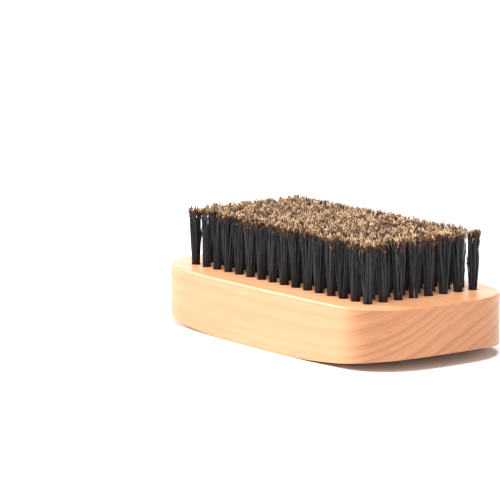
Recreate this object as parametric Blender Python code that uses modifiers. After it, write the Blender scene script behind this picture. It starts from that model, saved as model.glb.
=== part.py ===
"""Palm beard brush: an oblong beech block drilled for rows of boar-bristle tufts.

Metres, +Z up. The brush lies on its back with the bristles pointing up. The origin is the centre of
the flat that it rests on, and +X runs along the length of the block.
"""
import math

import bmesh
import bpy
from mathutils import Matrix, Vector

# The block, seen from above: four bowed sides and four rounded corners.
BLOCK_LENGTH = 0.121
BLOCK_WIDTH = 0.063
BLOCK_THICKNESS = 0.0195
END_BOW = 0.0040
SIDE_BOW = 0.0025
CORNER_RADIUS = 0.0200

# Its back: a flat across the middle, and ends that curve away from the table.
BACK_FLAT_LENGTH = 0.024
BACK_RISE = 0.0042
BACK_EDGE_RADIUS = 0.0020
FACE_EDGE_RADIUS = 0.0008

# The field of tufts. Each crosswise row of tufts is one piece.
TUFT_ROWS = 16
TUFTS_PER_ROW = 8
END_MARGIN = 0.0155
SIDE_MARGIN = 0.0105
TUFT_DIAMETER = 0.0024
HOLE_DEPTH = 0.0090
BRISTLE_LENGTH = 0.0190

# Fits.
HOLE_CLEARANCE = 0.0003
ROW_GAP = 0.0005
TUFT_OVERLAP = 0.0004
CUT_MARGIN = 0.0020

# Facets of the round stretches.
SIDE_FACETS = 14
END_FACETS = 8
CORNER_FACETS = 8
BACK_FACETS = 9
TUFT_SIDES = 8
FLAT_ANGLE = 0.05
SLIVER = 0.000001

ROW_PITCH = (BLOCK_LENGTH - 2 * END_MARGIN) / (TUFT_ROWS - 1)
TUFT_PITCH = (BLOCK_WIDTH - 2 * SIDE_MARGIN) / (TUFTS_PER_ROW - 1)


def clear_scene():
    for item in list(bpy.data.objects):
        bpy.data.objects.remove(item, do_unlink=True)


def make_collection(name):
    group = bpy.data.collections.new(name)
    bpy.context.scene.collection.children.link(group)
    return group


def make_material(name, color, roughness):
    material = bpy.data.materials.new(name)
    material.use_nodes = True
    shader = material.node_tree.nodes["Principled BSDF"]
    shader.inputs["Base Color"].default_value = (*color, 1.0)
    shader.inputs["Roughness"].default_value = roughness
    shader.inputs["Metallic"].default_value = 0.0
    return material


def hide_cutter(item):
    item.hide_render = True
    item.display_type = "WIRE"


def arc(centre, radius, start, end, count):
    """Points along an arc, from the start angle up to but not including the end angle."""
    step = (end - start) / count
    angles = [start + step * index for index in range(count)]
    return [centre + radius * Vector((math.cos(angle), math.sin(angle))) for angle in angles]


def bow_radius(half_chord, bow):
    return (half_chord ** 2 + bow ** 2) / (2 * bow)


def block_outline():
    """The block from above: arcs for the sides and ends, joined by tangent corner arcs."""
    half_length = BLOCK_LENGTH / 2
    half_width = BLOCK_WIDTH / 2
    side_radius = bow_radius(half_length - END_BOW, SIDE_BOW)
    end_radius = bow_radius(half_width - SIDE_BOW, END_BOW)
    side_drop = side_radius - half_width
    end_drop = end_radius - half_length

    # A corner's centre lies where the two arcs, both moved inwards by its radius, meet.
    inner_side = side_radius - CORNER_RADIUS
    inner_end = end_radius - CORNER_RADIUS
    span = math.hypot(side_drop, end_drop)
    along = (inner_side ** 2 - inner_end ** 2 + span ** 2) / (2 * span)
    across = math.sqrt(inner_side ** 2 - along ** 2)
    towards_end = Vector((-end_drop, side_drop)) / span
    corner = Vector((0, -side_drop)) + along * towards_end
    corner += across * Vector((towards_end.y, -towards_end.x))

    end_angle = math.atan2(corner.y, corner.x + end_drop)
    side_angle = math.atan2(corner.y + side_drop, corner.x)
    points = []
    for turn in (0, 1):
        flip = -1 if turn else 1
        side = arc(Vector((0, -side_drop)), side_radius, side_angle, math.pi - side_angle, SIDE_FACETS)
        end = arc(Vector((-end_drop, 0)), end_radius, -end_angle, end_angle, END_FACETS)
        near = arc(corner, CORNER_RADIUS, end_angle, side_angle, CORNER_FACETS)
        far_corner = Vector((-corner.x, corner.y))
        far = arc(far_corner, CORNER_RADIUS, math.pi - side_angle, math.pi - end_angle, CORNER_FACETS)
        points += [flip * point for point in end + near + side + far]
    return points


def back_profile():
    """The block from the side: the flat and its two rising arcs, closed well above the block."""
    half_flat = BACK_FLAT_LENGTH / 2
    reach = BLOCK_LENGTH / 2 - half_flat
    radius = (reach ** 2 + BACK_RISE ** 2) / (2 * BACK_RISE)
    overrun = reach + CUT_MARGIN
    right = []
    for index in range(BACK_FACETS + 1):
        distance = overrun * index / BACK_FACETS
        rise = radius - math.sqrt(radius ** 2 - distance ** 2)
        right.append(Vector((half_flat + distance, rise)))
    left = [Vector((-point.x, point.y)) for point in reversed(right)]
    top = BLOCK_THICKNESS + CUT_MARGIN
    return left + right + [Vector((right[-1].x, top)), Vector((left[0].x, top))]


def extruded_outline(name, points, thickness, placement, group):
    """A closed solid made from a flat curve, turned into a mesh at its place."""
    curve = bpy.data.curves.new(name, "CURVE")
    curve.dimensions = "2D"
    curve.fill_mode = "BOTH"
    curve.extrude = thickness / 2
    spline = curve.splines.new("POLY")
    spline.points.add(len(points) - 1)
    for target, point in zip(spline.points, points):
        target.co = (point.x, point.y, 0, 1)
    spline.use_cyclic_u = True
    drawn = bpy.data.objects.new(name + "_outline", curve)
    drawn.matrix_world = placement
    bpy.context.scene.collection.objects.link(drawn)
    bpy.context.view_layer.update()

    evaluated = drawn.evaluated_get(bpy.context.evaluated_depsgraph_get())
    mesh = bpy.data.meshes.new_from_object(evaluated)
    mesh.name = name
    form = bmesh.new()
    form.from_mesh(mesh)
    bmesh.ops.remove_doubles(form, verts=form.verts, dist=1e-6)
    bmesh.ops.dissolve_limit(form, angle_limit=math.radians(FLAT_ANGLE), verts=form.verts, edges=form.edges)
    bmesh.ops.recalc_face_normals(form, faces=form.faces)
    form.to_mesh(mesh)
    form.free()
    solid = bpy.data.objects.new(name, mesh)
    solid.matrix_world = drawn.matrix_world.copy()
    group.objects.link(solid)
    bpy.data.objects.remove(drawn, do_unlink=True)
    return solid


def tuft_places():
    """How far each tuft of a row stands from the row's middle."""
    middle = (TUFTS_PER_ROW - 1) / 2
    return [(index - middle) * TUFT_PITCH for index in range(TUFTS_PER_ROW)]


def row_places():
    middle = (TUFT_ROWS - 1) / 2
    return [(index - middle) * ROW_PITCH for index in range(TUFT_ROWS)]


def across_flats(half_size):
    """The corner radius of a tuft's polygon whose flats stand this far from its axis."""
    return half_size / math.cos(math.pi / TUFT_SIDES)


def add_prism(form, radius, low, high, x, y):
    """An upright prism in the mesh being built, with its flats facing along X and Y."""
    height = high - low
    place = Matrix.Translation((x, y, low + height / 2))
    turn = Matrix.Rotation(math.pi / TUFT_SIDES, 4, "Z")
    made = bmesh.ops.create_cone(form, cap_ends=True, segments=TUFT_SIDES, radius1=radius,
                                 radius2=radius, depth=height, matrix=place @ turn)
    return made["verts"]


def add_tuft(form, y):
    """One tuft: a stem as deep as its hole, and bristles that spread towards their tips."""
    stem = TUFT_DIAMETER / 2
    face = BLOCK_THICKNESS
    verts = add_prism(form, across_flats(stem), face, face + BRISTLE_LENGTH, 0, y)
    tips = [vert for vert in verts if vert.co.z > face + BRISTLE_LENGTH / 2]
    spread_x = (ROW_PITCH - ROW_GAP) / 2 / stem
    spread_y = (TUFT_PITCH / 2 + TUFT_OVERLAP) / stem
    bmesh.ops.scale(form, verts=tips, vec=(spread_x, spread_y, 1),
                    space=Matrix.Translation((0, -y, 0)))

    roots = set(verts) - set(tips)
    foot = [surface for surface in form.faces if set(surface.verts) == roots]
    grown = bmesh.ops.extrude_face_region(form, geom=foot)
    bmesh.ops.delete(form, geom=foot, context="FACES_ONLY")
    ends = [item for item in grown["geom"] if isinstance(item, bmesh.types.BMVert)]
    bmesh.ops.translate(form, verts=ends, vec=(0, 0, HOLE_CLEARANCE - HOLE_DEPTH))


def tuft_group(name, places, group):
    form = bmesh.new()
    for y in places:
        add_tuft(form, y)
    bmesh.ops.recalc_face_normals(form, faces=form.faces)
    mesh = bpy.data.meshes.new(name)
    form.to_mesh(mesh)
    form.free()
    item = bpy.data.objects.new(name, mesh)
    group.objects.link(item)
    return item


def drop_slivers(mesh):
    """Merges the doubled corners that joining leaves, and with them the faces of no area."""
    form = bmesh.new()
    form.from_mesh(mesh)
    bmesh.ops.remove_doubles(form, verts=form.verts, dist=SLIVER)
    bmesh.ops.dissolve_degenerate(form, edges=form.edges, dist=SLIVER)
    form.to_mesh(mesh)
    form.free()


def make_row_mesh(guides):
    """Every other tuft, joined with the tufts between them where their tips meet."""
    places = tuft_places()
    first = tuft_group("tufts_odd", places[0::2], guides)
    second = tuft_group("tufts_even", places[1::2], guides)
    join = first.modifiers.new("join_tips", "BOOLEAN")
    join.operation = "UNION"
    join.solver = "EXACT"
    join.object = second
    bpy.context.view_layer.update()
    evaluated = first.evaluated_get(bpy.context.evaluated_depsgraph_get())
    mesh = bpy.data.meshes.new_from_object(evaluated)
    mesh.name = "bristle_row"
    drop_slivers(mesh)
    mesh.shade_smooth()
    mesh.set_sharp_from_angle(angle=math.radians(50))
    bpy.data.objects.remove(first, do_unlink=True)
    bpy.data.objects.remove(second, do_unlink=True)
    return mesh


def make_rows(group, guides):
    mesh = make_row_mesh(guides)
    mesh.materials.append(make_material("boar_bristle", (0.020, 0.019, 0.021), 0.55))
    for number, x in enumerate(row_places(), start=1):
        row = bpy.data.objects.new(f"bristle_row_{number:02d}", mesh)
        row.location = (x, 0, 0)
        group.objects.link(row)


def make_hole_cutter(guides):
    form = bmesh.new()
    radius = across_flats(TUFT_DIAMETER / 2 + HOLE_CLEARANCE)
    for x in row_places():
        for y in tuft_places():
            add_prism(form, radius, BLOCK_THICKNESS - HOLE_DEPTH, BLOCK_THICKNESS + CUT_MARGIN, x, y)
    mesh = bpy.data.meshes.new("tuft_holes")
    form.to_mesh(mesh)
    form.free()
    cutter = bpy.data.objects.new("tuft_holes", mesh)
    guides.objects.link(cutter)
    hide_cutter(cutter)
    return cutter


def make_back_cutter(guides):
    upright = Matrix.Rotation(math.pi / 2, 4, "X")
    width = BLOCK_WIDTH + 2 * CUT_MARGIN
    cutter = extruded_outline("back_profile", back_profile(), width, upright, guides)
    hide_cutter(cutter)
    return cutter


def round_edges(item, name, radius, segments):
    bevel = item.modifiers.new(name, "BEVEL")
    bevel.width = radius
    bevel.segments = segments
    return bevel


def make_block(group, guides):
    """The drilled beech block: outline, curved back, softened edges and tuft holes."""
    height = BLOCK_THICKNESS + CUT_MARGIN
    middle = Matrix.Translation((0, 0, BLOCK_THICKNESS - height / 2))
    block = extruded_outline("wood_block", block_outline(), height, middle, group)
    mesh = block.data
    mesh.materials.append(make_material("beech", (0.80, 0.47, 0.22), 0.42))
    mesh.shade_smooth()
    mesh.set_sharp_from_angle(angle=math.radians(35))

    rim = block.vertex_groups.new(name="face_rim")
    rim.add([vert.index for vert in mesh.vertices if vert.co.z > 0], 1.0, "REPLACE")
    face_edge = round_edges(block, "face_edge", FACE_EDGE_RADIUS, 2)
    face_edge.limit_method = "VGROUP"
    face_edge.vertex_group = rim.name

    back = block.modifiers.new("curved_back", "BOOLEAN")
    back.operation = "INTERSECT"
    back.solver = "EXACT"
    back.object = make_back_cutter(guides)

    back_edge = round_edges(block, "back_edge", BACK_EDGE_RADIUS, 3)
    back_edge.limit_method = "ANGLE"
    back_edge.angle_limit = math.radians(60)

    holes = block.modifiers.new("tuft_holes", "BOOLEAN")
    holes.operation = "DIFFERENCE"
    holes.solver = "EXACT"
    holes.object = make_hole_cutter(guides)


def main():
    clear_scene()
    brush = make_collection("beard_brush")
    guides = make_collection("cutters")
    make_block(brush, guides)
    make_rows(brush, guides)


main()
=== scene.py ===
"""Looks of the palm beard brush: a lacquered beech block filled with flagged boar bristle.

Everything is in metres in the CAD model's frame: the brush lies on its back, bristles up.
"""
import math

import bmesh
import bpy
import numpy as np
from mathutils import Matrix, Vector


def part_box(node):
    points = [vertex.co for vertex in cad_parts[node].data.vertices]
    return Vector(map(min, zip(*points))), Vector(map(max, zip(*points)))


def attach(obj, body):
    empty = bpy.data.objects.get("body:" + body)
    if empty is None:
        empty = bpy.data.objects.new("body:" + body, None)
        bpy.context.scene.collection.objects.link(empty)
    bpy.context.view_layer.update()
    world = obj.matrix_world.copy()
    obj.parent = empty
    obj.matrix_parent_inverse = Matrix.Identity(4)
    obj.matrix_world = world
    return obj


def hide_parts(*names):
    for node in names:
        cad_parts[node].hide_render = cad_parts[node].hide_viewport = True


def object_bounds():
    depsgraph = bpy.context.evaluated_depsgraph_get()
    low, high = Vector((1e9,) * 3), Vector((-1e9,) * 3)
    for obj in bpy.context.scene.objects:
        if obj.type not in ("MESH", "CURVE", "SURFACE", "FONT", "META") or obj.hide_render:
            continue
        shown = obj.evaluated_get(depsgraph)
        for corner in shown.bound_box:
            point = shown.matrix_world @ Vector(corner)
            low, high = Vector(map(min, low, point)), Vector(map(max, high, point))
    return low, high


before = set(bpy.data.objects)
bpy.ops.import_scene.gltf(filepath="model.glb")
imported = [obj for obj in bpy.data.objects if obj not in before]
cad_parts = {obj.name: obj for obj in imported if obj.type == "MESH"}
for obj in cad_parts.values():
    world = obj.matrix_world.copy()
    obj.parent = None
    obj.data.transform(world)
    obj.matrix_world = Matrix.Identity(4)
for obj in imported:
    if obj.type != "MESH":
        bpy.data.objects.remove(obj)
cad_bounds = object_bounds()

MM = 0.001
SEED = 7

# The camera looks along the brush's near corner, a little from above.
VIEW_AZIMUTH = math.radians(53.49)
VIEW_ELEVATION = math.radians(9.37)
VIEW_DISTANCE = 0.930
VIEW_AIM = Vector((-0.0059, -0.0279, 0.0300))
VIEW_LENS_MM = 212.0

# The studio: a pale sky that is brightest at the horizon, and how much light the floor throws back.
# Between the two heights, each the sine of an angle above the horizon, the one fades into the other.
HORIZON_LIGHT = 0.95
SKY_LIGHT = 0.30
GLOW_TOP = 0.14
SKY_BOTTOM = 0.32
FLOOR_TONE = 0.78
FLOOR_MOTTLE = 0.01
FLOOR_HALF = 6.0
FLOOR_GAP = 0.00002

# Each soft light: its name, the direction it comes from, its width in degrees and its strength.
SOFTBOXES = (
    ("key", (-0.70, -0.58, 0.50), 22, 4.70),
    ("top", (0.16, -0.20, 1.0), 40, 5.00),
    ("rim", (-0.79, 0.59, 0.24), 36, 0.58),
    ("fill", (0.79, 0.32, 0.30), 50, 1.25),
)

# The block's own shape. Its box comes from the frame.
END_BOW = 0.0040
SIDE_BOW = 0.0025
CORNER_RADIUS = 0.0200
BACK_FLAT_LENGTH = 0.024
BACK_RISE = 0.0042
BACK_EDGE_RADIUS = 0.0020
FACE_EDGE_RADIUS = 0.0008
CUT_MARGIN = 0.0020
SIDE_FACETS = 48
END_FACETS = 26
CORNER_FACETS = 20
BACK_FACETS = 30
HOLE_FACETS = 20

# The tufts, and the room under each in its hole.
TUFTS_PER_ROW = 8
SIDE_MARGIN = 0.0105
TUFT_CLEARANCE = 0.0003
HOLE_RADIUS = 0.00145
HOLE_MOUTH = 0.00018
HAIRS_PER_TUFT = 42
LOCKS_PER_TUFT = 20
HAIR_RADIUS = 0.000145
ROOT_RADIUS = 0.00131
TIP_RADIUS = 0.00305
TIP_HEIGHT_SPREAD = 0.00045
COLOUR_CLASSES = 64
PALE_CLASSES = 2
PALE_SHARE = 0.009

# Beech, in millimetres: how thick a year ring is, and how the rings lie in the block.
RING_WIDTH = 3.3
RING_TILT = math.radians(26)
PITH_DISTANCE = 220.0

# Colours of beech. The end grain is tinted darker, partly its own end-grain tone and partly painted shade on
# the block's ends, and its rings and bands are stronger, by these shares.
BEECH_TONES = ((0.28, (0.55, 0.252, 0.118)), (0.50, (0.59, 0.284, 0.142)), (0.72, (0.63, 0.316, 0.162)))
END_GRAIN_TONE_AND_SHADE = (0.71, 0.68, 0.605)
LATE_WOOD = (0.32, 0.112, 0.046)
BAND_WOOD = (0.41, 0.160, 0.065)
LINE_WOOD = (0.33, 0.120, 0.050)
FIBRE_TONE = (0.43, 0.175, 0.072)
PORE_TONE = (0.36, 0.145, 0.060)
RAY_TONE = (0.31, 0.115, 0.044)
RING_DEPTH = 0.14
RING_DEPTH_AT_END = 0.70
BAND_DEPTH = 0.10
BAND_DEPTH_AT_END = 0.74

# Colours of boar bristle, by height on the map: dark stem, red-brown shoulder, pale split tip.
BRISTLE_TONES = (
    (0.05, (0.020, 0.009, 0.005)),
    (0.16, (0.0180, 0.0200, 0.0250)),
    (0.74, (0.0180, 0.0200, 0.0250)),
    (0.83, (0.040, 0.018, 0.013)),
    (0.895, (0.105, 0.036, 0.021)),
    (0.935, (0.165, 0.056, 0.029)),
    (0.958, (0.450, 0.215, 0.095)),
    (0.972, (1.000, 0.720, 0.400)),
    (1.00, (1.000, 0.860, 0.580)),
)
PALE_DELAY = 0.07
PALE_ADVANCE = 0.003
BROWN_ROOT = (0.022, 0.013, 0.010)
BROWN_TIP = (0.22, 0.12, 0.07)
PALE_HAIR = (0.42, 0.38, 0.34)

low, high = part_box("wood_block")
FACE_Z = high.z
BLOCK_LENGTH = high.x - low.x
BLOCK_WIDTH = high.y - low.y
rows = sorted(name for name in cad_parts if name.startswith("bristle_row"))
row_boxes = [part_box(name) for name in rows]
ROW_X = [(box[0].x + box[1].x) / 2 for box in row_boxes]
TIP_Z = row_boxes[0][1].z
HOLE_BOTTOM_Z = row_boxes[0][0].z - TUFT_CLEARANCE
TUFT_PITCH = (BLOCK_WIDTH - 2 * SIDE_MARGIN) / (TUFTS_PER_ROW - 1)
TUFT_Y = [(index - (TUFTS_PER_ROW - 1) / 2) * TUFT_PITCH for index in range(TUFTS_PER_ROW)]


# ---------------------------------------------------------------- camera, light and floor

def look_at(item, target):
    item.rotation_euler = (target - item.location).to_track_quat("-Z", "Y").to_euler()


def make_camera():
    away = Vector((
        math.sin(VIEW_AZIMUTH) * math.cos(VIEW_ELEVATION),
        -math.cos(VIEW_AZIMUTH) * math.cos(VIEW_ELEVATION),
        math.sin(VIEW_ELEVATION),
    ))
    data = bpy.data.cameras.new("camera")
    data.lens = VIEW_LENS_MM
    data.clip_start = 0.01
    data.clip_end = 50
    camera = bpy.data.objects.new("camera", data)
    bpy.context.scene.collection.objects.link(camera)
    camera.location = VIEW_AIM + VIEW_DISTANCE * away
    look_at(camera, VIEW_AIM)
    bpy.context.scene.camera = camera


def add_softbox(name, towards, spread, power):
    """A soft white light as wide as spread, far enough away to light everything alike."""
    data = bpy.data.lights.new(name, "SUN")
    data.angle = math.radians(spread)
    data.energy = power
    light = bpy.data.objects.new(name, data)
    bpy.context.scene.collection.objects.link(light)
    light.location = Vector(towards)
    look_at(light, Vector((0, 0, 0)))


def make_lights():
    world = bpy.data.worlds.new("studio")
    bpy.context.scene.world = world
    world.use_nodes = True
    nodes = world.node_tree.nodes
    links = world.node_tree.links
    background = nodes["Background"]
    height = nodes.new("ShaderNodeSeparateXYZ")
    links.new(nodes.new("ShaderNodeTexCoord").outputs["Generated"], height.inputs[0])
    glow = nodes.new("ShaderNodeMapRange")
    glow.interpolation_type = "SMOOTHSTEP"
    glow.inputs["From Min"].default_value = GLOW_TOP
    glow.inputs["From Max"].default_value = SKY_BOTTOM
    glow.inputs["To Min"].default_value = HORIZON_LIGHT
    glow.inputs["To Max"].default_value = SKY_LIGHT
    links.new(height.outputs["Z"], glow.inputs["Value"])
    links.new(glow.outputs[0], background.inputs["Strength"])
    background.inputs["Color"].default_value = (1, 1, 1, 1)
    for softbox in SOFTBOXES:
        add_softbox(*softbox)
    bpy.context.scene.view_settings.view_transform = "Standard"


def make_floor():
    mesh = bpy.data.meshes.new("floor")
    form = bmesh.new()
    bmesh.ops.create_grid(form, x_segments=8, y_segments=8, size=FLOOR_HALF)
    form.to_mesh(mesh)
    form.free()
    floor = bpy.data.objects.new("floor", mesh)
    bpy.context.scene.collection.objects.link(floor)
    floor.location.z = cad_bounds[0][2] - FLOOR_GAP
    graph = Graph("white_sweep")
    soft = graph.noise(graph.coordinates("Object"), 3.0, 2)
    dark = (FLOOR_TONE - FLOOR_MOTTLE,) * 3
    light = (FLOOR_TONE + FLOOR_MOTTLE,) * 3
    tone = graph.ramp(soft, [(0.0, dark), (1.0, light)])
    graph.surface(base=tone, roughness=0.9, specular=0.1)
    mesh.materials.append(graph.material)


# ---------------------------------------------------------------- materials

class Graph:
    """A material's node tree, built by calls that return sockets."""

    def __init__(self, name):
        self.material = bpy.data.materials.new(name)
        self.material.use_nodes = True
        self.nodes = self.material.node_tree.nodes
        self.links = self.material.node_tree.links
        self.shader = self.nodes["Principled BSDF"]

    def add(self, kind, inputs=(), **settings):
        node = self.nodes.new(kind)
        for key, value in settings.items():
            setattr(node, key, value)
        for key, value in dict(inputs).items():
            self.feed(node.inputs[key], value)
        return node

    def feed(self, socket, value):
        if isinstance(value, bpy.types.NodeSocket):
            self.links.new(value, socket)
        elif isinstance(value, tuple) and len(value) == 3 and socket.type == "RGBA":
            socket.default_value = (*value, 1.0)
        else:
            socket.default_value = value

    def coordinates(self, kind):
        return self.add("ShaderNodeTexCoord").outputs[kind]

    def math(self, operation, a, b=0.0):
        return self.add("ShaderNodeMath", {0: a, 1: b}, operation=operation).outputs[0]

    def vector(self, operation, a, b):
        return self.add("ShaderNodeVectorMath", {0: a, 1: b}, operation=operation).outputs["Vector"]

    def split(self, vector):
        return self.add("ShaderNodeSeparateXYZ", {0: vector}).outputs

    def join(self, x, y, z):
        return self.add("ShaderNodeCombineXYZ", {0: x, 1: y, 2: z}).outputs[0]

    def noise(self, vector, scale, detail, rough=0.5):
        inputs = {"Vector": vector, "Scale": scale, "Detail": detail, "Roughness": rough}
        return self.add("ShaderNodeTexNoise", inputs).outputs["Fac"]

    def ramp(self, factor, stops):
        node = self.add("ShaderNodeValToRGB", {"Fac": factor})
        elements = node.color_ramp.elements
        while len(elements) < len(stops):
            elements.new(0.5)
        for element, (position, colour) in zip(elements, stops):
            element.position = position
            element.color = (*colour, 1.0)
        return node.outputs["Color"]

    def level(self, value, start, end, first=0.0, last=1.0):
        inputs = {"Value": value, "From Min": start, "From Max": end, "To Min": first, "To Max": last}
        return self.add("ShaderNodeMapRange", inputs, interpolation_type="SMOOTHSTEP").outputs[0]

    def mix(self, factor, a, b, blend="MIX"):
        node = self.add("ShaderNodeMix", data_type="RGBA", blend_type=blend)
        self.feed(node.inputs["Factor"], factor)
        self.feed(node.inputs[6], a)
        self.feed(node.inputs[7], b)
        return node.outputs[2]

    def surface(self, base, roughness, specular=0.5, **sockets):
        self.feed(self.shader.inputs["Base Color"], base)
        self.feed(self.shader.inputs["Roughness"], roughness)
        self.feed(self.shader.inputs["Specular IOR Level"], specular)
        for name, value in sockets.items():
            self.feed(self.shader.inputs[name.replace("_", " ")], value)

    def bump(self, height, strength, distance):
        inputs = {"Height": height, "Strength": strength, "Distance": distance}
        self.links.new(self.add("ShaderNodeBump", inputs).outputs[0], self.shader.inputs["Normal"])


def make_beech():
    """Beech as a solid: year rings around a far pith, rays across them, fibres along the length."""
    graph = Graph("lacquered_beech")
    place = graph.vector("MULTIPLY", graph.coordinates("Object"), (1 / MM, 1 / MM, 1 / MM))
    x, y, z = graph.split(place)

    # Distance from the pith, and the way around it, both in millimetres.
    wander = graph.noise(graph.vector("MULTIPLY", place, (0.014, 0.035, 0.035)), 1.0, 2.0)
    from_y = graph.math("SUBTRACT", y, math.sin(RING_TILT) * PITH_DISTANCE)
    from_z = graph.math("ADD", z, math.cos(RING_TILT) * PITH_DISTANCE)
    square = graph.math("ADD", graph.math("MULTIPLY", from_y, from_y),
                        graph.math("MULTIPLY", from_z, from_z))
    out = graph.math("ADD", graph.math("SQRT", square), graph.math("MULTIPLY", wander, 3.0))
    around = graph.math("MULTIPLY", graph.math("ARCTAN2", from_y, from_z), PITH_DISTANCE)

    # How squarely a surface faces along the fibres, and how squarely along a ray.
    normal = graph.add("ShaderNodeNewGeometry").outputs["Normal"]
    facing = graph.add("ShaderNodeVectorTransform", {0: normal}, vector_type="NORMAL", convert_from="WORLD",
                       convert_to="OBJECT").outputs[0]
    face_x, face_y, face_z = graph.split(facing)
    endness = graph.level(graph.math("ABSOLUTE", face_x), 0.18, 0.68)
    along_ray = graph.math("ADD", graph.math("MULTIPLY", face_y, -math.sin(RING_TILT)),
                           graph.math("MULTIPLY", face_z, math.cos(RING_TILT)))
    flatness = graph.math("POWER", graph.math("ABSOLUTE", along_ray), 3.0)

    # Year rings: wide pale wood closing in a thin darker line, in uneven years.
    uneven = graph.noise(graph.join(0.0, 0.0, graph.math("MULTIPLY", out, 0.13)), 1.0, 1.0)
    rings = graph.math("ADD", graph.math("DIVIDE", out, RING_WIDTH), graph.math("MULTIPLY", uneven, 2.5))
    year = graph.math("FRACT", rings)
    late = graph.math("MULTIPLY", graph.level(year, 0.30, 0.90), graph.level(year, 0.90, 1.0, 1.0, 0.0))
    bands = graph.noise(graph.join(graph.math("MULTIPLY", x, 0.006), graph.math("MULTIPLY", around, 0.02),
                                   graph.math("MULTIPLY", out, 0.9)), 1.0, 2.0)
    lines = graph.noise(graph.join(graph.math("MULTIPLY", x, 0.02), graph.math("MULTIPLY", around, 0.13),
                                   graph.math("MULTIPLY", out, 2.6)), 1.0, 3.0, 0.6)

    # Slow drifts of colour, long fibres, and fine pores.
    drift = graph.noise(graph.vector("MULTIPLY", place, (0.012, 0.05, 0.07)), 1.0, 2.0)
    fibre = graph.noise(graph.vector("MULTIPLY", place, (0.10, 2.2, 2.2)), 1.0, 3.0, 0.6)
    pores = graph.noise(graph.vector("MULTIPLY", place, (0.8, 7.0, 7.0)), 1.0, 1.0)

    # Rays: thin upright plates, seen end on as short dark spindles along the grain.
    ray_place = graph.join(graph.math("MULTIPLY", x, 0.40), graph.math("MULTIPLY", around, 1.7),
                           graph.math("MULTIPLY", out, 0.05))
    cell = graph.add("ShaderNodeTexVoronoi", {"Vector": ray_place, "Scale": 1.0, "Randomness": 1.0})
    kept = graph.level(graph.split(cell.outputs["Color"])[0], 0.35, 0.75)
    ray = graph.math("MULTIPLY", graph.level(cell.outputs["Distance"], 0.10, 0.34, 1.0, 0.0), kept)
    ray = graph.math("MULTIPLY", ray, flatness)

    tone = graph.ramp(drift, BEECH_TONES)
    # The end faces are multiplied darker: partly the end grain's own tone, partly painted shade that dims
    # the block's ends.
    tone = graph.mix(endness, tone, END_GRAIN_TONE_AND_SHADE, "MULTIPLY")
    ring_depth = graph.math("ADD", RING_DEPTH, graph.math("MULTIPLY", endness, RING_DEPTH_AT_END))
    tone = graph.mix(graph.math("MULTIPLY", late, ring_depth), tone, LATE_WOOD)
    band_depth = graph.math("ADD", BAND_DEPTH, graph.math("MULTIPLY", endness, BAND_DEPTH_AT_END))
    tone = graph.mix(graph.math("MULTIPLY", graph.level(bands, 0.40, 0.68), band_depth), tone, BAND_WOOD)
    tone = graph.mix(graph.math("MULTIPLY", graph.level(lines, 0.48, 0.72), band_depth), tone, LINE_WOOD)
    tone = graph.mix(graph.level(fibre, 0.40, 0.72, 0.0, 0.28), tone, FIBRE_TONE)
    tone = graph.mix(graph.level(pores, 0.60, 0.80, 0.0, 0.22), tone, PORE_TONE)
    tone = graph.mix(graph.math("MULTIPLY", ray, 0.40), tone, RAY_TONE)

    sheen = graph.math("ADD", 0.33, graph.math("MULTIPLY", fibre, 0.16))
    graph.surface(base=tone, roughness=sheen, specular=0.45)
    relief = graph.math("SUBTRACT", graph.math("MULTIPLY", fibre, 0.7), graph.math("MULTIPLY", ray, 0.6))
    graph.bump(graph.math("SUBTRACT", relief, graph.math("MULTIPLY", pores, 0.4)), 0.16, 0.00010)
    return graph.material


def make_bristle():
    """Black boar bristle that turns brown and then blond at its split tips.

    The map runs once along each bristle: across it the hair's own class, and up it the root to the tip.
    """
    graph = Graph("boar_bristle")
    across, along, _ = graph.split(graph.add("ShaderNodeUVMap", uv_map="OFBake").outputs[0])
    scaled = graph.math("MULTIPLY", across, COLOUR_CLASSES)
    number = graph.math("FLOOR", scaled)
    chance = graph.add("ShaderNodeTexWhiteNoise", {"W": number}, noise_dimensions="1D")
    first, second, third = graph.split(chance.outputs["Color"])

    # Each class turns pale at a height of its own, and has its own darkness and gloss.
    later = graph.math("MULTIPLY", graph.math("MULTIPLY", first, first), -PALE_DELAY)
    height = graph.math("ADD", along, graph.math("ADD", later, PALE_ADVANCE))
    tone = graph.ramp(height, BRISTLE_TONES)
    shade = graph.math("ADD", graph.level(second, 0.22, 0.36, 0.08, 0.92),
                       graph.math("MULTIPLY", second, 0.08))
    tone = graph.mix(1.0, tone, graph.join(shade, shade, shade), "MULTIPLY")
    brown = graph.math("MULTIPLY", graph.level(third, 0.94, 0.97), 0.5)
    tone = graph.mix(brown, tone, graph.mix(along, BROWN_ROOT, BROWN_TIP))
    pale = graph.math("GREATER_THAN", across, 1 - PALE_CLASSES / COLOUR_CLASSES)
    tone = graph.mix(pale, tone, PALE_HAIR)
    gloss = graph.math("ADD", 0.28, graph.math("MULTIPLY", third, 0.34))
    graph.surface(base=tone, roughness=gloss, specular=0.4)
    return graph.material


def make_steel():
    graph = Graph("anchor_steel")
    place = graph.vector("MULTIPLY", graph.coordinates("Object"), (900, 300, 2500))
    drawn = graph.noise(place, 1.0, 3.0, 0.6)
    tone = graph.ramp(drawn, [(0.3, (0.50, 0.49, 0.47)), (0.7, (0.68, 0.67, 0.65))])
    rough = graph.math("ADD", 0.28, graph.math("MULTIPLY", drawn, 0.2))
    graph.surface(base=tone, roughness=rough, Metallic=1.0)
    graph.bump(drawn, 0.15, 0.00005)
    return graph.material


# ---------------------------------------------------------------- the wooden block

def arc(centre, radius, start, end, count):
    step = (end - start) / count
    angles = [start + step * index for index in range(count)]
    return [centre + radius * Vector((math.cos(angle), math.sin(angle))) for angle in angles]


def bow_radius(half_chord, bow):
    return (half_chord ** 2 + bow ** 2) / (2 * bow)


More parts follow.
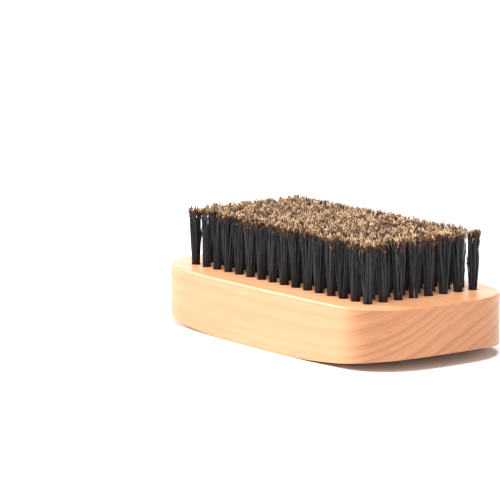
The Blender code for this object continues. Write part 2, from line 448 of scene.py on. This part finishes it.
def block_outline():
    """The block from above: arcs for the sides and ends, joined by tangent corner arcs."""
    half_length = BLOCK_LENGTH / 2
    half_width = BLOCK_WIDTH / 2
    side_radius = bow_radius(half_length - END_BOW, SIDE_BOW)
    end_radius = bow_radius(half_width - SIDE_BOW, END_BOW)
    side_drop = side_radius - half_width
    end_drop = end_radius - half_length

    # A corner's centre lies where the two arcs, both moved inwards by its radius, meet.
    inner_side = side_radius - CORNER_RADIUS
    inner_end = end_radius - CORNER_RADIUS
    span = math.hypot(side_drop, end_drop)
    along = (inner_side ** 2 - inner_end ** 2 + span ** 2) / (2 * span)
    across = math.sqrt(inner_side ** 2 - along ** 2)
    towards_end = Vector((-end_drop, side_drop)) / span
    corner = Vector((0, -side_drop)) + along * towards_end
    corner += across * Vector((towards_end.y, -towards_end.x))

    end_angle = math.atan2(corner.y, corner.x + end_drop)
    side_angle = math.atan2(corner.y + side_drop, corner.x)
    far_corner = Vector((-corner.x, corner.y))
    half = arc(Vector((-end_drop, 0)), end_radius, -end_angle, end_angle, END_FACETS)
    half += arc(corner, CORNER_RADIUS, end_angle, side_angle, CORNER_FACETS)
    half += arc(Vector((0, -side_drop)), side_radius, side_angle, math.pi - side_angle, SIDE_FACETS)
    half += arc(far_corner, CORNER_RADIUS, math.pi - side_angle, math.pi - end_angle, CORNER_FACETS)
    return half + [-point for point in half]


def back_profile():
    """The block from the side: the flat and its two rising arcs, closed well above the block."""
    half_flat = BACK_FLAT_LENGTH / 2
    reach = BLOCK_LENGTH / 2 - half_flat
    radius = (reach ** 2 + BACK_RISE ** 2) / (2 * BACK_RISE)
    distances = [(reach + CUT_MARGIN) * index / BACK_FACETS for index in range(BACK_FACETS + 1)]
    right = [Vector((half_flat + far, radius - math.sqrt(radius ** 2 - far ** 2))) for far in distances]
    left = [Vector((-point.x, point.y)) for point in reversed(right)]
    top = FACE_Z + CUT_MARGIN
    return left + right + [Vector((right[-1].x, top)), Vector((left[0].x, top))]


def extruded(name, points, start, move, place):
    """A closed solid: one flat face through the points, at start, drawn out by move."""
    form = bmesh.new()
    verts = [form.verts.new(place @ Vector((point.x, point.y, start))) for point in points]
    face = form.faces.new(verts)
    grown = bmesh.ops.extrude_face_region(form, geom=[face], use_keep_orig=True)
    moved = [item for item in grown["geom"] if isinstance(item, bmesh.types.BMVert)]
    bmesh.ops.translate(form, verts=moved, vec=place.to_3x3() @ Vector((0, 0, move)))
    bmesh.ops.recalc_face_normals(form, faces=form.faces)
    return finish_mesh(form, name)


def finish_mesh(form, name):
    mesh = bpy.data.meshes.new(name)
    form.to_mesh(mesh)
    form.free()
    item = bpy.data.objects.new(name, mesh)
    bpy.context.scene.collection.objects.link(item)
    return item


def hole_cutter():
    """Every tuft hole, each with a small countersink where the drill's edge was sanded back."""
    form = bmesh.new()
    turns = [2 * math.pi * side / HOLE_FACETS for side in range(HOLE_FACETS)]
    profile = [(HOLE_BOTTOM_Z, HOLE_RADIUS), (FACE_Z - HOLE_MOUTH, HOLE_RADIUS),
               (FACE_Z + HOLE_MOUTH, HOLE_RADIUS + 2 * HOLE_MOUTH)]
    for x in ROW_X:
        for y in TUFT_Y:
            rings = []
            for z, radius in profile:
                places = [(x + radius * math.cos(turn), y + radius * math.sin(turn), z) for turn in turns]
                rings.append([form.verts.new(place) for place in places])
            form.faces.new(list(reversed(rings[0])))
            form.faces.new(rings[-1])
            for lower, upper in zip(rings, rings[1:]):
                for side in range(HOLE_FACETS):
                    after = (side + 1) % HOLE_FACETS
                    form.faces.new((lower[side], lower[after], upper[after], upper[side]))
    return finish_mesh(form, "hole_cutter")


def apply_modifiers(item):
    bpy.context.view_layer.update()
    evaluated = item.evaluated_get(bpy.context.evaluated_depsgraph_get())
    mesh = bpy.data.meshes.new_from_object(evaluated)
    item.modifiers.clear()
    item.data = mesh


def make_block():
    """The drilled block: outline, curved back, softened edges and tuft holes."""
    block = extruded("beech_block", block_outline(), -CUT_MARGIN, FACE_Z + CUT_MARGIN, Matrix())
    upright = Matrix.Rotation(math.pi / 2, 4, "X")
    back_cutter = extruded("back_cutter", back_profile(), -BLOCK_WIDTH, 2 * BLOCK_WIDTH, upright)
    holes = hole_cutter()

    rim = block.vertex_groups.new(name="face_rim")
    rim.add([vert.index for vert in block.data.vertices if vert.co.z > 0], 1.0, "REPLACE")
    face_edge = block.modifiers.new("face_edge", "BEVEL")
    face_edge.width = FACE_EDGE_RADIUS
    face_edge.segments = 4
    face_edge.limit_method = "VGROUP"
    face_edge.vertex_group = rim.name
    back = block.modifiers.new("back", "BOOLEAN")
    back.operation = "INTERSECT"
    back.object = back_cutter
    back_edge = block.modifiers.new("back_edge", "BEVEL")
    back_edge.width = BACK_EDGE_RADIUS
    back_edge.segments = 6
    back_edge.limit_method = "ANGLE"
    back_edge.angle_limit = math.radians(60)
    drilled = block.modifiers.new("holes", "BOOLEAN")
    drilled.operation = "DIFFERENCE"
    drilled.object = holes
    apply_modifiers(block)
    bpy.data.objects.remove(back_cutter)
    bpy.data.objects.remove(holes)

    block.data.shade_smooth()
    block.data.set_sharp_from_angle(angle=math.radians(32))
    flat = block.modifiers.new("flat_faces", "WEIGHTED_NORMAL")
    flat.keep_sharp = True
    apply_modifiers(block)
    block.data.materials.clear()
    block.data.materials.append(make_beech())
    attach(block, "root")
    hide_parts("wood_block")


# ---------------------------------------------------------------- bristles and their anchors

ANCHOR_HALF = Vector((0.00020, 0.00165, 0.00055))
ANCHOR_Z = HOLE_BOTTOM_Z + 0.0016
HAIR_SIDES = 4
PRONG_SIDES = 3
# How far up each ring stands on a bristle, from the block's face to where its tip splits.
RISE = np.array([0.0, 0.16, 0.34, 0.52, 0.70, 0.84, 0.92])

# How tips scatter: towards the field from its outer tufts, with the tuft, alone, and into locks.
EDGE_LEAN = -0.0002
TUFT_LEAN = 0.00020
EDGE_NARROWING = 0.34
TIP_SCATTER = 0.00048
STRAY_SHARE = 0.06
STRAY_REACH = 2.3
LOCK_PULL = 0.60
SHARED_COLOUR = 0.85

# How high tips stand below the top of the CAD row, and how far the short ones fall behind.
TIP_DROP = 0.0007
TIP_LIMIT = 0.0004
SHORT_SHARE = 0.08
SHORT_BY = (0.0008, 0.0030)

# How a hair strays from a straight line, and how its tip bends over.
HAIR_EASE = (0.85, 1.25)
HAIR_WAVE = 0.00016
BEND_START = 0.78
TIP_BEND = 0.00038
LOCK_BEND = 0.00030
HAIR_TAPER = 0.22
HAIR_THICKNESS = (0.75, 1.2)

# The fold under the anchor: how far each leg stands from its middle, and its rings' map heights.
WAIST_OUT = 0.00034
WAIST_SPREAD = (0.00055, 0.00110)
WAIST_RISE = 0.0008
FOLD_OUT = 0.00030
FOLD_SPREAD = (0.00010, 0.00105)
FOLD_DROP = 0.00018
FOLD_SCATTER = 0.0005
FOLD_MAP = [0.05, 0.01, 0.01, 0.05]

# The prongs of a split tip. Each has three rings.
PRONG_COUNT = (2, 4)
PRONG_FAN = 0.17
PRONG_LENGTH = (0.0013, 0.0024)
PRONG_BOW = 0.00020
PRONG_LIMIT = 0.0008
PRONG_STEPS = np.array([-0.08, 0.5, 1.0])
PRONG_TAPER = np.array([0.88, 0.86, 0.44])
PRONG_MAP = np.array([[0.83, 0.91, 0.99]])


def hair_paths(rng, x, y):
    """One tuft's hairs, tip to tip under the anchor: centre lines, radii, map heights and classes."""
    count = HAIRS_PER_TUFT
    angle = rng.uniform(0, 2 * np.pi, (count, 2))
    reach = np.sqrt(rng.uniform(0, 1, (count, 2)))
    side = np.array([-1.0, 1.0])
    spot = np.stack([np.abs(reach * np.cos(angle)) * side, reach * np.sin(angle)], -1)
    root = spot * ROOT_RADIUS

    # Tips fan out, most of all round the outside of the field, and gather into small locks.
    edge_x = 1.0 * (x > ROW_X[-1] - MM) - 1.0 * (x < ROW_X[0] + MM)
    edge_y = 1.0 * (y > TUFT_Y[-1] - MM) - 1.0 * (y < TUFT_Y[0] + MM)
    lean = np.array([edge_x, edge_y]) * EDGE_LEAN + rng.normal(0, TUFT_LEAN, 2)
    stray = np.where(rng.uniform(0, 1, (count, 2)) < STRAY_SHARE, STRAY_REACH, 1.0)[..., None]
    spread = TIP_RADIUS * (1 - EDGE_NARROWING * np.abs([edge_x, edge_y]))
    tip = spot * spread + rng.normal(0, TIP_SCATTER, (count, 2, 2)) * stray + lean
    locks = tip.reshape(-1, 2)[rng.choice(2 * count, LOCKS_PER_TUFT, replace=False)]
    gaps = np.linalg.norm(tip[:, :, None] - locks, axis=-1)
    lock = np.argmin(gaps, -1)
    tip += (locks[lock] - tip) * LOCK_PULL * (stray < STRAY_REACH)
    tall = TIP_Z - FACE_Z - TIP_DROP + rng.normal(0, TIP_HEIGHT_SPREAD, LOCKS_PER_TUFT)[lock]
    tall += rng.normal(0, TIP_HEIGHT_SPREAD, (count, 2))
    short = rng.uniform(0, 1, (count, 2)) < SHORT_SHARE
    tall = np.where(short, tall - rng.uniform(*SHORT_BY, (count, 2)), tall)
    tall = np.minimum(tall, TIP_Z - FACE_Z + TIP_LIMIT)
    wave = rng.normal(0, HAIR_WAVE, (count, 2, 2))
    bend = rng.normal(0, TIP_BEND, (count, 2, 2)) + rng.normal(0, LOCK_BEND, (LOCKS_PER_TUFT, 2))[lock]

    rise = RISE[None, None, :, None]
    ease = rise ** rng.uniform(*HAIR_EASE)
    flat = root[:, :, None, :] * (1 - ease) + tip[:, :, None, :] * ease
    flat = flat + wave[:, :, None, :] * np.sin(rise * np.pi * 1.3)
    flat = flat + bend[:, :, None, :] * (np.maximum(rise - BEND_START, 0) / (1 - BEND_START)) ** 2
    height = FACE_Z + tall[:, :, None] * RISE[None, None, :]
    legs = np.concatenate([flat, height[..., None]], -1)

    # Inside the hole each leg narrows to the anchor and turns under it.
    waist = np.stack([side * WAIST_OUT + spot[..., 0] * WAIST_SPREAD[0], spot[..., 1] * WAIST_SPREAD[1]], -1)
    waist = np.concatenate([waist, np.full((count, 2, 1), ANCHOR_Z + WAIST_RISE)], -1)
    turn = np.stack([side * FOLD_OUT + spot[..., 0] * FOLD_SPREAD[0], spot[..., 1] * FOLD_SPREAD[1]], -1)
    drop = ANCHOR_Z - ANCHOR_HALF.z - FOLD_DROP - rng.uniform(0, FOLD_SCATTER, (count, 1))
    turn = np.concatenate([turn, np.repeat(drop[..., None], 2, 1)], -1)
    first = np.concatenate([legs[:, 0, ::-1], waist[:, 0, None], turn[:, 0, None]], 1)
    second = np.concatenate([turn[:, 1, None], waist[:, 1, None], legs[:, 1]], 1)
    path = np.concatenate([first, second], 1) + np.array([x, y, 0.0])

    thick = HAIR_RADIUS * rng.uniform(*HAIR_THICKNESS, count)
    leg_taper = 1.0 - HAIR_TAPER * RISE ** 3
    taper = np.concatenate([leg_taper[::-1], [1, 1, 1, 1], leg_taper])
    radius = thick[:, None] * taper[None, :]
    up = 0.10 + 0.80 * RISE
    v = np.concatenate([up[::-1], FOLD_MAP, up])
    own = rng.integers(0, COLOUR_CLASSES - PALE_CLASSES, (count, 2))
    shared = rng.integers(0, COLOUR_CLASSES - PALE_CLASSES, LOCKS_PER_TUFT)[lock]
    classes = np.where(rng.uniform(0, 1, (count, 2)) < SHARED_COLOUR, shared, own)
    pale = rng.uniform(0, 1, (count, 2)) < PALE_SHARE
    classes = np.where(pale, COLOUR_CLASSES - 1 - rng.integers(0, PALE_CLASSES, (count, 2)), classes)
    return path, radius, np.repeat(v[None], count, 0), np.repeat(classes, len(RISE) + 2, 1)


class Bundle:
    """Collects faces and their map places, and becomes one mesh."""

    def __init__(self):
        self.points = []
        self.faces = []
        self.uvs = []
        self.total = 0

    def add(self, points, *surfaces):
        """Takes points and any number of surfaces on them, each given as its faces and map places."""
        points = points.reshape(-1, 3)
        self.points.append(points)
        for faces, uvs in surfaces:
            self.faces += (faces + self.total).tolist()
            self.uvs.append(uvs.reshape(-1, 2))
        self.total += len(points)

    def build(self, name, material):
        mesh = bpy.data.meshes.new(name)
        mesh.from_pydata(np.concatenate(self.points).tolist(), [], self.faces)
        layer = mesh.uv_layers.new(name="OFBake")
        layer.data.foreach_set("uv", np.concatenate(self.uvs).astype(np.float32).ravel())
        mesh.shade_smooth()
        mesh.materials.append(material)
        item = bpy.data.objects.new(name, mesh)
        bpy.context.scene.collection.objects.link(item)
        return item


def unit(vectors):
    return vectors / np.linalg.norm(vectors, axis=-1, keepdims=True)


def sweep_tubes(bundle, path, radius, v, classes, sides):
    """Closed tubes along the paths, each with its own class column of the map at every ring."""
    count, rings = radius.shape
    tangent = unit(np.gradient(path, axis=1))
    first = unit(np.cross(tangent, np.array([0.02, 1.0, 0.03])))
    second = np.cross(tangent, first)
    turn = 2 * np.pi * np.arange(sides) / sides
    ring = first[:, :, None] * np.cos(turn)[:, None] + second[:, :, None] * np.sin(turn)[:, None]
    points = path[:, :, None] + radius[:, :, None, None] * ring
    caps = np.stack([path[:, 0] - tangent[:, 0] * radius[:, :1] * 0.5,
                     path[:, -1] + tangent[:, -1] * radius[:, -1:] * 0.5], 1)
    per_tube = rings * sides + 2
    corners = np.concatenate([points.reshape(count, -1, 3), caps], 1)
    start = (np.arange(count) * per_tube)[:, None, None]

    lower = np.arange(rings - 1)[:, None] * sides + np.arange(sides)[None]
    after = np.arange(rings - 1)[:, None] * sides + (np.arange(sides)[None] + 1) % sides
    quad = np.stack([lower, after, after + sides, lower + sides], -1).reshape(-1, 4)
    quads = (start + quad[None]).reshape(-1, 4)
    wide = 0.5 / COLOUR_CLASSES
    middle = (classes + 0.5) / COLOUR_CLASSES
    middle_quad = np.stack([middle[:, :-1], middle[:, :-1], middle[:, 1:], middle[:, 1:]], -1)[:, :, None]
    u_side = (np.arange(sides + 1) / sides - 0.5) * wide
    u = np.stack([u_side[:-1], u_side[1:], u_side[1:], u_side[:-1]], -1)[None, None] + middle_quad
    u = np.broadcast_to(u, (count, rings - 1, sides, 4))
    v_low, v_high = v[:, :-1, None, None], v[:, 1:, None, None]
    v_corner = np.concatenate([v_low, v_low, v_high, v_high], -1)
    v_corner = np.broadcast_to(v_corner, (count, rings - 1, sides, 4))
    side_map = np.stack([u, v_corner], -1)

    # The two end caps, as fans.
    around = np.arange(sides)
    following = (around + 1) % sides
    head = np.stack([following, around, np.full(sides, rings * sides)], -1)
    last = (rings - 1) * sides
    tail = np.stack([last + around, last + following, np.full(sides, rings * sides + 1)], -1)
    fans = (start + np.concatenate([head, tail])[None]).reshape(-1, 3)
    end_v = np.stack([v[:, 0], v[:, -1]], 1)[:, :, None, None]
    middle_end = np.stack([middle[:, 0], middle[:, -1]], 1)[:, :, None, None]
    u_fan = np.stack([u_side[1:], u_side[:-1], (u_side[1:] + u_side[:-1]) / 2], -1)[None, None] + middle_end
    u_fan = np.broadcast_to(u_fan, (count, 2, sides, 3))
    v_fan = np.broadcast_to(end_v + np.array([0.0, 0.0, 0.004]), (count, 2, sides, 3))
    bundle.add(corners, (quads, side_map), (fans, np.stack([u_fan, v_fan], -1)))


def flag_paths(rng, path, radius, classes):
    """The split end of each bristle: two or three fine prongs that part from its last ring."""
    ends = np.concatenate([path[:, -1], path[:, 0]])
    before = np.concatenate([path[:, -2], path[:, 1]])
    thick = np.concatenate([radius[:, -1], radius[:, 0]])
    kind = np.concatenate([classes[:, -1], classes[:, 0]])
    direction = unit(ends - before)
    picks = np.repeat(np.arange(len(ends)), rng.integers(*PRONG_COUNT, len(ends)))
    count = len(picks)
    heading = direction[picks] + rng.normal(0, PRONG_FAN, (count, 3)) * np.array([1, 1, 0.2])
    heading = unit(heading)
    long = rng.uniform(*PRONG_LENGTH, count)
    bow = rng.normal(0, PRONG_BOW, (count, 3))
    line = ends[picks, None] + heading[:, None] * (long[:, None] * PRONG_STEPS)[..., None]
    line = line + bow[:, None] * (PRONG_STEPS ** 2)[None, :, None]
    line[..., 2] = np.minimum(line[..., 2], TIP_Z + PRONG_LIMIT)
    taper = thick[picks, None] * PRONG_TAPER[None]
    v = np.repeat(PRONG_MAP, count, 0)
    return line, taper, v, np.repeat(kind[picks, None], len(PRONG_STEPS), 1)


def make_bristle_rows():
    material = make_bristle()
    for number, (name, x) in enumerate(zip(rows, ROW_X)):
        rng = np.random.default_rng(SEED + number)
        bundle = Bundle()
        for y in TUFT_Y:
            path, radius, v, classes = hair_paths(rng, x, y)
            sweep_tubes(bundle, path, radius, v, classes, HAIR_SIDES)
            sweep_tubes(bundle, *flag_paths(rng, path, radius, classes), PRONG_SIDES)
        item = bundle.build("bristles_" + name[-2:], material)
        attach(item, "root")
        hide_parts(name)


def make_anchors():
    """Short lengths of flat wire, one driven across each hole over the fold of its hairs."""
    form = bmesh.new()
    for x in ROW_X:
        for y in TUFT_Y:
            made = bmesh.ops.create_cube(form, size=2.0)
            bmesh.ops.scale(form, verts=made["verts"], vec=ANCHOR_HALF)
            bmesh.ops.translate(form, verts=made["verts"], vec=(x, y, ANCHOR_Z))
    bmesh.ops.bevel(form, geom=form.edges[:], offset=0.00007, segments=2, profile=0.5, affect="EDGES")
    anchors = finish_mesh(form, "tuft_anchors")
    anchors.data.shade_smooth()
    anchors.data.set_sharp_from_angle(angle=math.radians(50))
    anchors.data.materials.append(make_steel())
    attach(anchors, "root")


make_camera()
make_lights()
make_floor()
make_block()
make_bristle_rows()
make_anchors()

bpy.context.view_layer.update()
